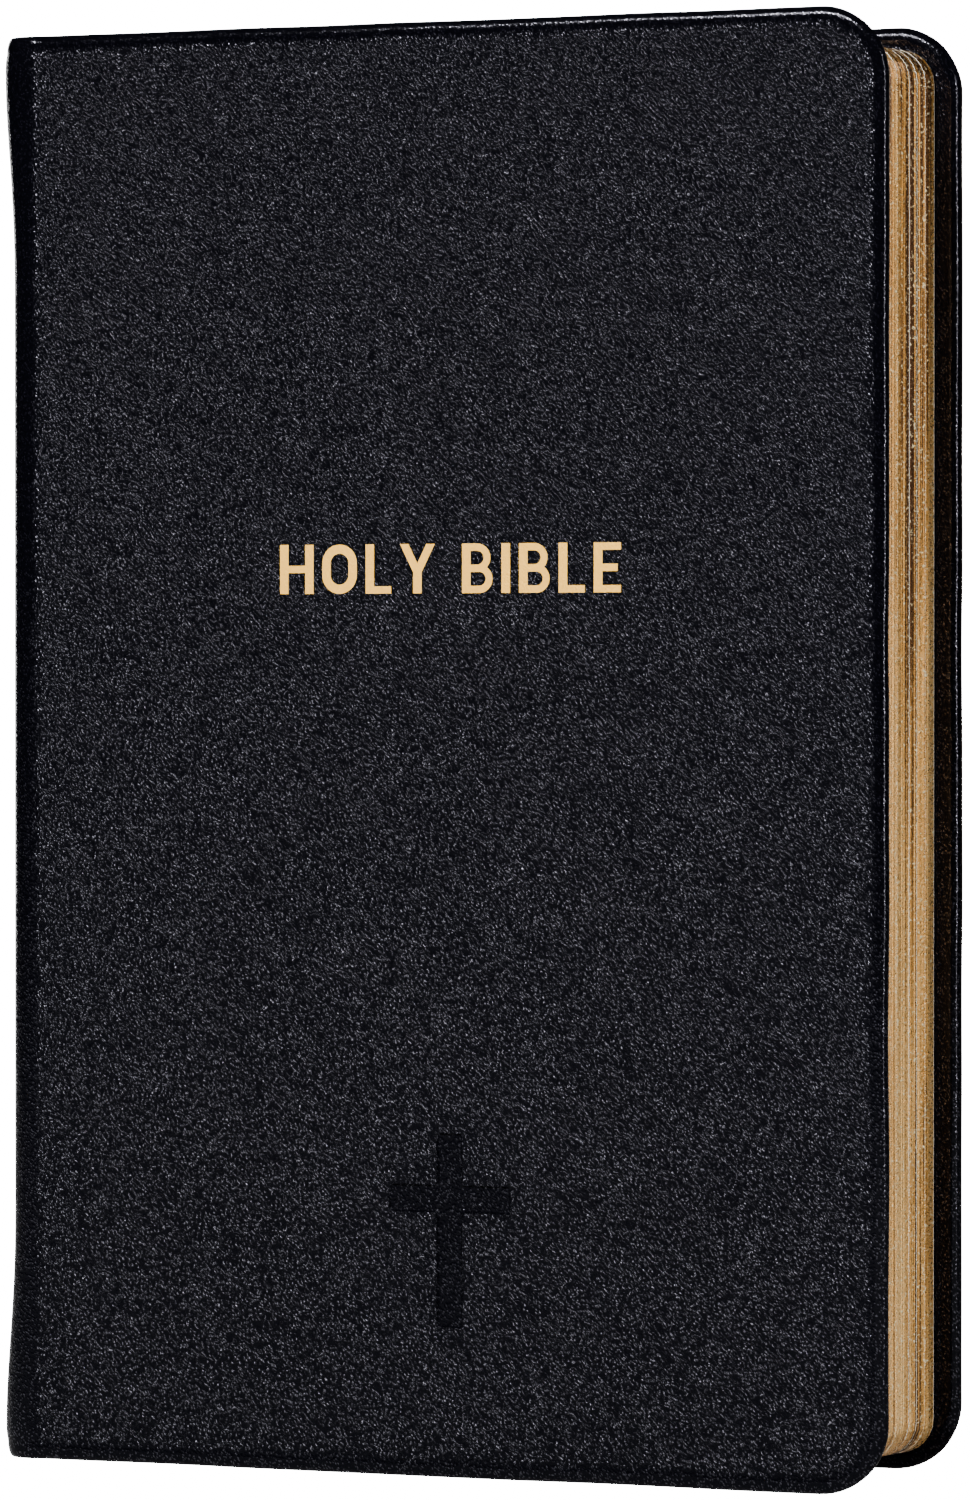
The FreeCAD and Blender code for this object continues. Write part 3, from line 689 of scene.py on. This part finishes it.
def cover_leather(name, side, node):
    """The skin of one cover. side is -1 at the front and 1 at the back."""
    pressed = side < 0
    outer_y = leather_low.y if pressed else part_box(node)[1].y
    inner_x = fore_x - COVER_CORNER
    inner_low = foot_z + COVER_CORNER
    inner_high = head_z - COVER_CORNER
    across_lines = [HINGE_X + step * MM for step in range(0, 15)]
    up_lines = []
    if pressed:
        across_lines += lines_round([(cross_x - CROSS_WIDE / 2, -1), (cross_x - CROSS_BAR / 2, -1),
                                     (cross_x + CROSS_BAR / 2, 1), (cross_x + CROSS_WIDE / 2, 1)])
        up_lines += lines_round([(CROSS_FOOT, -1), (cross_arm_z - CROSS_BAR / 2, -1),
                                 (cross_arm_z + CROSS_BAR / 2, 1), (CROSS_FOOT + CROSS_HIGH, 1)])
    xs = spread(across_lines, HINGE_X, inner_x, 2.6 * MM)
    zs = spread(up_lines, inner_low, inner_high, 2.6 * MM)

    turns = 16
    angles = [math.radians(90 * n / turns) for n in range(1, turns)]
    stations = [(x, inner_low, 0.0, -1.0) for x in xs]
    stations += [(inner_x, inner_low, math.sin(a), -math.cos(a)) for a in angles]
    stations += [(inner_x, z, 1.0, 0.0) for z in zs]
    stations += [(inner_x, inner_high, math.cos(a), math.sin(a)) for a in angles]
    stations += [(x, inner_high, 0.0, 1.0) for x in reversed(xs)]

    verts, faces, work = [], [], []

    def add(x, depth, z, worked):
        verts.append((x, outer_y - side * depth, z))
        work.append(worked)
        return len(verts) - 1

    profile = rim_profile()
    rows = []
    for base_x, base_z, out_x, out_z in stations:
        row = []
        away = fade(base_x, HINGE_X, HINGE_X + 25 * MM)
        ragged = noise.noise(Vector((base_x * 55 + out_x * 2, side, base_z * 55 + out_z * 2)))
        corner = abs(out_x * out_z) * 2
        for inset, depth, worked in profile:
            reach = COVER_CORNER - min(inset, COVER_CORNER)
            x = base_x + out_x * (reach + 0.13 * MM * ragged * away * fade(reach, 2 * MM, 9 * MM))
            z = base_z + out_z * (reach + 0.13 * MM * ragged * away * fade(reach, 2 * MM, 9 * MM))
            if inset > COVER_CORNER:
                x = min(x, fore_x - inset)
                z = min(max(z, foot_z + inset), head_z - inset)
            sunk = depth
            if depth < cover_thick / 2:
                sunk += face_depth(x, z, pressed) * (1 - depth / (cover_thick / 2))
            elif 1.7 * MM < inset < 9 * MM:
                pleat = math.sin(math.atan2(out_z, out_x) * 22)
                sunk += 0.16 * MM * corner * max(0.0, pleat) * fade(inset, 9 * MM, 3 * MM)
            row.append(add(x, sunk, z, worked))
        rows.append(row)
    for first, second in zip(rows, rows[1:]):
        for n in range(len(profile) - 1):
            faces.append((first[n], first[n + 1], second[n + 1], second[n]))

    for level in ("face", "window"):
        grid = []
        for x in xs:
            column = []
            for z in zs:
                if level == "face":
                    smooth = 0.5 if pressed and in_cross(x, z, 0.05 * MM) else 0.0
                    column.append(add(x, face_depth(x, z, pressed), z, smooth))
                else:
                    held_x = min(x, fore_x - TURN_IN)
                    held_z = min(max(z, foot_z + TURN_IN), head_z - TURN_IN)
                    column.append(add(held_x, cover_thick - TURN_EDGE, held_z, 0.6))
            grid.append(column)
        for first, second in zip(grid, grid[1:]):
            for n in range(len(zs) - 1):
                faces.append((first[n], second[n], second[n + 1], first[n + 1]))

    piece = mesh_piece(name, verts, faces, [leather])
    worn = piece.data.attributes.new("worked", "FLOAT", "POINT")
    worn.data.foreach_set("value", work)
    finish_skin(piece)
    return piece


def finish_skin(piece):
    """Joins the seams of the mesh, closes its open ends and remembers where the grain lies."""
    work = bmesh.new()
    work.from_mesh(piece.data)
    bmesh.ops.remove_doubles(work, verts=work.verts, dist=0.002 * MM)
    bmesh.ops.dissolve_degenerate(work, edges=work.edges, dist=0.0005 * MM)
    open_edges = [edge for edge in work.edges if edge.is_boundary]
    bmesh.ops.holes_fill(work, edges=open_edges, sides=0)
    bmesh.ops.recalc_face_normals(work, faces=work.faces)
    work.to_mesh(piece.data)
    work.free()
    shade_smooth(piece)
    place = piece.data.attributes.new("grain_place", "FLOAT_VECTOR", "POINT")
    for n, vertex in enumerate(piece.data.vertices):
        place.data[n].vector = vertex.co


for side, end in ((-1, "front"), (1, "back")):
    skin = cover_leather(end + "_cover_skin", side, end + "_leather")
    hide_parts(end + "_leather")
    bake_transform(skin)


# The back: the same skin from one hinge line to the other, round a rounded back whose ends
# swell slightly where the leather is turned in over a cord at head and tail.

SPINE_CORNER = 4 * MM
SPINE_THICK = 1.45 * MM        # leather and card together, at the middle of the back
SWELL = 1.35 * MM
SWELL_FROM = 38 * MM           # how far from the ends the swelling begins


def back_outline():
    """Places and outward directions round the back, from the front hinge line to the other,
    and how much of the end swelling each takes."""
    half = (high.y - low.y) / 2
    reach = SPINE_ROUND - SPINE_CORNER
    centre_x = low.x + SPINE_ROUND
    corner_x = centre_x - math.sqrt(reach ** 2 - (half - SPINE_CORNER) ** 2)
    tilt = math.asin((half - SPINE_CORNER) / reach)
    outline = []
    flats = 5
    for n in range(flats):
        x = HINGE_X + (corner_x - HINGE_X) * n / flats
        outline.append((x, -half, 0.0, -1.0, 0.15 * fade(HINGE_X - x, 0, 3 * MM)))
    turns = 14
    for n in range(turns + 1):
        angle = (math.pi / 2 - tilt) * n / turns
        out_x, out_y = -math.sin(angle), -math.cos(angle)
        outline.append((corner_x + SPINE_CORNER * out_x, SPINE_CORNER - half + SPINE_CORNER * out_y,
                        out_x, out_y, 0.15 + 0.85 * fade(n / turns, 0, 1)))
    turns = 12
    for n in range(1, turns + 1):
        angle = tilt * (1 - n / turns)
        outline.append((centre_x - SPINE_ROUND * math.cos(angle), -SPINE_ROUND * math.sin(angle),
                        -math.cos(angle), -math.sin(angle), 1.0))
    mirrored = [(x, -y, out_x, -out_y, swell) for x, y, out_x, out_y, swell in reversed(outline[:-1])]
    return outline + mirrored


def back_skin():
    verts, faces, work, rings = [], [], [], []
    heights = spread([], foot_z + COVER_CORNER, head_z - COVER_CORNER, 3 * MM)
    rim = [point for point in rim_profile() if point[0] < TURN_IN or point[1] < cover_thick]
    for x, y, out_x, out_y, swell in back_outline():
        inwards = fade(HINGE_X - x, 0.5 * MM, 2.2 * MM)
        thick = cover_thick + (SPINE_THICK - cover_thick) * inwards
        ring = []
        profile = [(foot_z + inset, depth, worked) for inset, depth, worked in rim]
        tail_part = list(reversed(profile))
        head_part = [(head_z - inset, depth, worked) for inset, depth, worked in rim]
        outer_part = [(z, 0.0, 0.0) for z in heights[1:-1]]
        for z, depth, worked in tail_part + outer_part + head_part:
            from_end = min(z - foot_z, head_z - z)
            flare = SWELL * swell * (1 - fade(from_end, 5 * MM, SWELL_FROM)) ** 1.5
            flare *= 0.72 + 0.28 * fade(from_end, 0, 4.5 * MM)
            bed = FOIL_BED * (1 - depth / cover_thick)
            sunk = depth / cover_thick * thick + bed - flare
            verts.append((x - out_x * sunk, y - out_y * sunk, z))
            stretched = 0.85 * fade(HINGE_X - x, 0.5 * MM, 2.3 * MM) * fade(abs(out_y), 0.35, 0.75)
            work.append(max(worked, stretched))
            ring.append(len(verts) - 1)
        rings.append(ring)
    for first, second in zip(rings, rings[1:]):
        count = len(first)
        for n in range(count):
            after = (n + 1) % count
            faces.append((first[n], first[after], second[after], second[n]))
    piece = mesh_piece("back_skin", verts, faces, [leather])
    worn = piece.data.attributes.new("worked", "FLOAT", "POINT")
    worn.data.foreach_set("value", work)
    finish_skin(piece)
    return piece


skin = back_skin()
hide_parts("spine_leather")
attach(skin, "spine_and_block")


# ------------------------------------------------------------------ stitches and end bands
# Linen thread crosses the folds at six sewing stations, close along the rounded back. Silk is
# wound turn beside turn round a cord at head and tail. A rule lays both along their paths.

STATIONS = 6
THREAD_DEPTH = 2.515 * MM      # the thread's middle, below the outside of the back
SILK_THICK = 0.24 * MM

thread_low, thread_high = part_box("sewing_thread")
thread_thick = 2 * (THREAD_DEPTH - (thread_low.x - low.x))


def swept(rule, path, radius, around):
    """A round cord along a curve, closed at its ends."""
    ring = add_node(rule, "GeometryNodeCurvePrimitiveCircle", Resolution=around, Radius=radius)
    return add_node(rule, "GeometryNodeCurveToMesh", Curve=path, Profile_Curve=ring.outputs[0],
                    Fill_Caps=True).outputs[0]


def stitches_rule():
    rule, given, result = rule_tree("stitches_at_stations", [
        ("Stations", "Int"), ("Rise", "Float"), ("Thread", "Float"), ("Finish", "Material")])
    path = add_node(rule, "GeometryNodeMeshToCurve", Mesh=given["Geometry"])
    stitch = swept(rule, path.outputs[0], math_node(rule, "DIVIDE", given["Thread"], 2), 10)
    up = add_node(rule, "ShaderNodeCombineXYZ", Z=given["Rise"])
    stations = add_node(rule, "GeometryNodeMeshLine", Count=given["Stations"], Offset=up.outputs[0])
    placed = add_node(rule, "GeometryNodeInstanceOnPoints", Points=stations.outputs[0],
                      Instance=stitch)
    finish_rule(rule, result, placed.outputs[0], (given["Finish"], True))
    return rule


def winding_rule():
    rule, given, result = rule_tree("silk_wound_on_cord", [
        ("Turns", "Int"), ("Bead", "Float"), ("Silk", "Float"), ("Finish", "Material")])
    path = add_node(rule, "GeometryNodeMeshToCurve", Mesh=given["Geometry"])
    half_silk = math_node(rule, "DIVIDE", given["Silk"], 2)
    middle_of_silk = math_node(rule, "SUBTRACT", given["Bead"], half_silk)
    cord = swept(rule, path.outputs[0], middle_of_silk, 20)
    round_once = add_node(rule, "GeometryNodeCurvePrimitiveCircle", Resolution=20,
                          Radius=middle_of_silk)
    turn = swept(rule, round_once.outputs[0], half_silk, 6)
    places = add_node(rule, "GeometryNodeCurveToPoints", {"mode": "COUNT"}, Curve=path.outputs[0],
                      Count=given["Turns"])
    placed = add_node(rule, "GeometryNodeInstanceOnPoints", Points=places.outputs["Points"],
                      Instance=turn, Rotation=places.outputs["Rotation"])
    finish_rule(rule, result, joined(rule, placed.outputs[0], cord), (given["Finish"], True))
    return rule


def path_piece(name, node, points, rule, values, finish):
    """A piece grown along a path on the back, in place of a node of the back."""
    links = [(n, n + 1) for n in range(len(points) - 1)]
    piece = mesh_piece(name, points, [], [finish], edges=links)
    grow_by_rule(piece, rule, {**values, "Finish": finish})
    face_outwards(piece)
    shade_smooth(piece)
    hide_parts(node)
    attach(piece, "spine_and_block")


across_folds = [(x - out_x * THREAD_DEPTH, y - out_y * THREAD_DEPTH, thread_low.z + thread_thick / 2)
                for x, y, out_x, out_y, _ in back_outline()]
across_folds = [point for point in across_folds if point[0] < thread_high.x]
path_piece("linen_stitches", "sewing_thread", across_folds, stitches_rule(), {
    "Stations": STATIONS, "Thread": thread_thick,
    "Rise": (thread_high.z - thread_low.z - thread_thick) / (STATIONS - 1)},
    thread_finish)

silk_wound_on_cord = winding_rule()
for end in ("head", "tail"):
    band_low, band_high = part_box(end + "band")
    bead = (band_high.z - band_low.z) / 2
    reach = back_radius - bead
    opening = math.asin(band_high.y / back_radius) - SILK_THICK / 2 / reach
    steps = 40
    along_folds = []
    for n in range(steps + 1):
        angle = opening * (2 * n / steps - 1)
        along_folds.append((low.x + SPINE_ROUND - reach * math.cos(angle), reach * math.sin(angle),
                            band_low.z + bead))
    path_piece("wound_" + end + "band", end + "band", along_folds, silk_wound_on_cord, {
        "Turns": round(2 * opening * reach / SILK_THICK) + 1, "Bead": bead, "Silk": SILK_THICK},
        silk)


# ------------------------------------------------------------------ boards, linings, flyleaves
# Thin boards stiffen the covers inside the leather. Each lining is black paper, pasted down
# between the turn-ins; it runs on into the fold beside the first section, where the free
# flyleaf of strong ivory paper begins.

LINING_THICK = 0.3 * MM
FLYLEAF_THICK = 0.22 * MM
FOLD_REACH = 3.2 * MM          # how far the endpaper's fold goes in behind the hinge line
FOLD_DEPTH = 2.32 * MM         # how deep the fold lies below the cover's outer face
BOARD_DEPTH = 0.75 * MM        # leather over the board, with its waves
BOARD_THICK = 0.7 * MM
BOARD_TRIM = 1.2 * MM          # the board stops short of the leather's folded edge

# Endpaper: black, dyed through, with a fine felt mark and almost no shine.
lining_paper, tree, shader = new_material("black_lining_paper")
spot = add_node(tree, "ShaderNodeTexCoord")
felt = add_node(tree, "ShaderNodeTexNoise", Vector=spot.outputs["Object"], Scale=2600.0, Detail=3.0)
tone = add_node(tree, "ShaderNodeMixRGB", Fac=felt.outputs["Fac"], Color1=linear("#101013"),
                Color2=linear("#1e1d22"))
tree.links.new(tone.outputs[0], shader.inputs["Base Color"])
bump = add_node(tree, "ShaderNodeBump", Height=felt.outputs["Fac"], Strength=0.4, Distance=0.00005)
tree.links.new(bump.outputs[0], shader.inputs["Normal"])
shader.inputs["Roughness"].default_value = 0.6

ivory, tree, shader = new_material("ivory_flyleaf_paper")
spot = add_node(tree, "ShaderNodeTexCoord")
laid = add_node(tree, "ShaderNodeTexNoise", Vector=spot.outputs["Object"], Scale=900.0, Detail=4.0)
tone = add_node(tree, "ShaderNodeMixRGB", Fac=laid.outputs["Fac"], Color1=linear("#efe6d6"),
                Color2=linear("#f8f3e8"))
tree.links.new(tone.outputs[0], shader.inputs["Base Color"])
shader.inputs["Roughness"].default_value = 0.8


def sheet_piece(name, side, depths, start, stop, bottom, top, corner, thick, finish):
    """A thin upright sheet with rounded corners at its fore-edge. depths gives the place of its
    outer face below the cover's, at each x."""
    outline, half = edge_loop(start, stop, bottom, top, corner)
    outer_y = leather_low.y if side < 0 else high.y
    verts, faces = [], []
    for layer in (0.0, thick):
        verts += [(x, outer_y - side * (depths(x) + layer), z) for x, z in outline]
    count = len(outline)
    for n in range(count):
        after = (n + 1) % count
        faces.append((n, after, count + after, count + n))
    faces += leaf_faces(count, half) + leaf_faces(count, half, base=count)
    piece = mesh_piece(name, verts, faces, [finish])
    face_outwards(piece)
    shade_smooth(piece)
    return piece


def into_fold(x):
    """The lining lies in the leather's window, and dips to the fold behind the hinge."""
    inside = cover_thick - TURN_EDGE + 0.02 * MM
    return inside + (FOLD_DEPTH - inside) * (1 - fade(x, HINGE_X - 1.5 * MM, HINGE_X + 2 * MM))


def off_the_fold(x):
    """The flyleaf rises from the fold to lie on the first leaves."""
    return FOLD_DEPTH + 0.04 * MM + 0.28 * MM * (1 - fade(x, HINGE_X, HINGE_X + 3 * MM))


for side, end in ((-1, "front"), (1, "back")):
    board_low, board_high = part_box(end + "_board")
    board = sheet_piece(end + "_stiff_board", side, lambda x: BOARD_DEPTH, HINGE_X + 0.2 * MM,
                        board_high.x - BOARD_TRIM, board_low.z + BOARD_TRIM,
                        board_high.z - BOARD_TRIM, COVER_CORNER - 2 * MM, BOARD_THICK, millboard)
    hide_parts(end + "_board")
    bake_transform(board)

    lining_low, lining_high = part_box(end + "_lining")
    lining = sheet_piece(end + "_pasted_lining", side, into_fold, HINGE_X - FOLD_REACH,
                         lining_high.x, lining_low.z, lining_high.z, 1 * MM, LINING_THICK,
                         lining_paper)
    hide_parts(end + "_lining")
    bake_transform(lining)

    leaf_low, leaf_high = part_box(end + "_flyleaf")
    leaf = sheet_piece(end + "_free_flyleaf", side, off_the_fold, HINGE_X - FOLD_REACH,
                       leaf_high.x, leaf_low.z, leaf_high.z, PAGE_CORNER,
                       FLYLEAF_THICK, ivory)
    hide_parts(end + "_flyleaf")
    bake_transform(leaf)


# ------------------------------------------------------------------ gold title
# Gold foil, hot-pressed into the leather: bright, thin and flush, with the grain showing
# through it and fine flecks of tone; the small breaks where a pebble kept the foil off are not drawn.

foil, tree, shader = new_material("hot_pressed_gold_foil")
spot = add_node(tree, "ShaderNodeTexCoord")
height = pebble_grain(tree, spot.outputs["Object"])
bump = add_node(tree, "ShaderNodeBump", Height=height, Strength=0.35, Distance=0.00008)
tree.links.new(bump.outputs[0], shader.inputs["Normal"])
fleck = add_node(tree, "ShaderNodeTexNoise", Vector=spot.outputs["Object"], Scale=2600.0, Detail=3.0)
tone = add_node(tree, "ShaderNodeMixRGB", Fac=fleck.outputs["Fac"], Color1=linear("#e0a438"),
                Color2=linear("#f2b848"))
tree.links.new(tone.outputs[0], shader.inputs["Base Color"])
shader.inputs["Metallic"].default_value = 0.3
shader.inputs["Roughness"].default_value = 0.45
title_mesh = frame["nodes"]["title_foil"].data
title_mesh.materials.clear()
title_mesh.materials.append(foil)
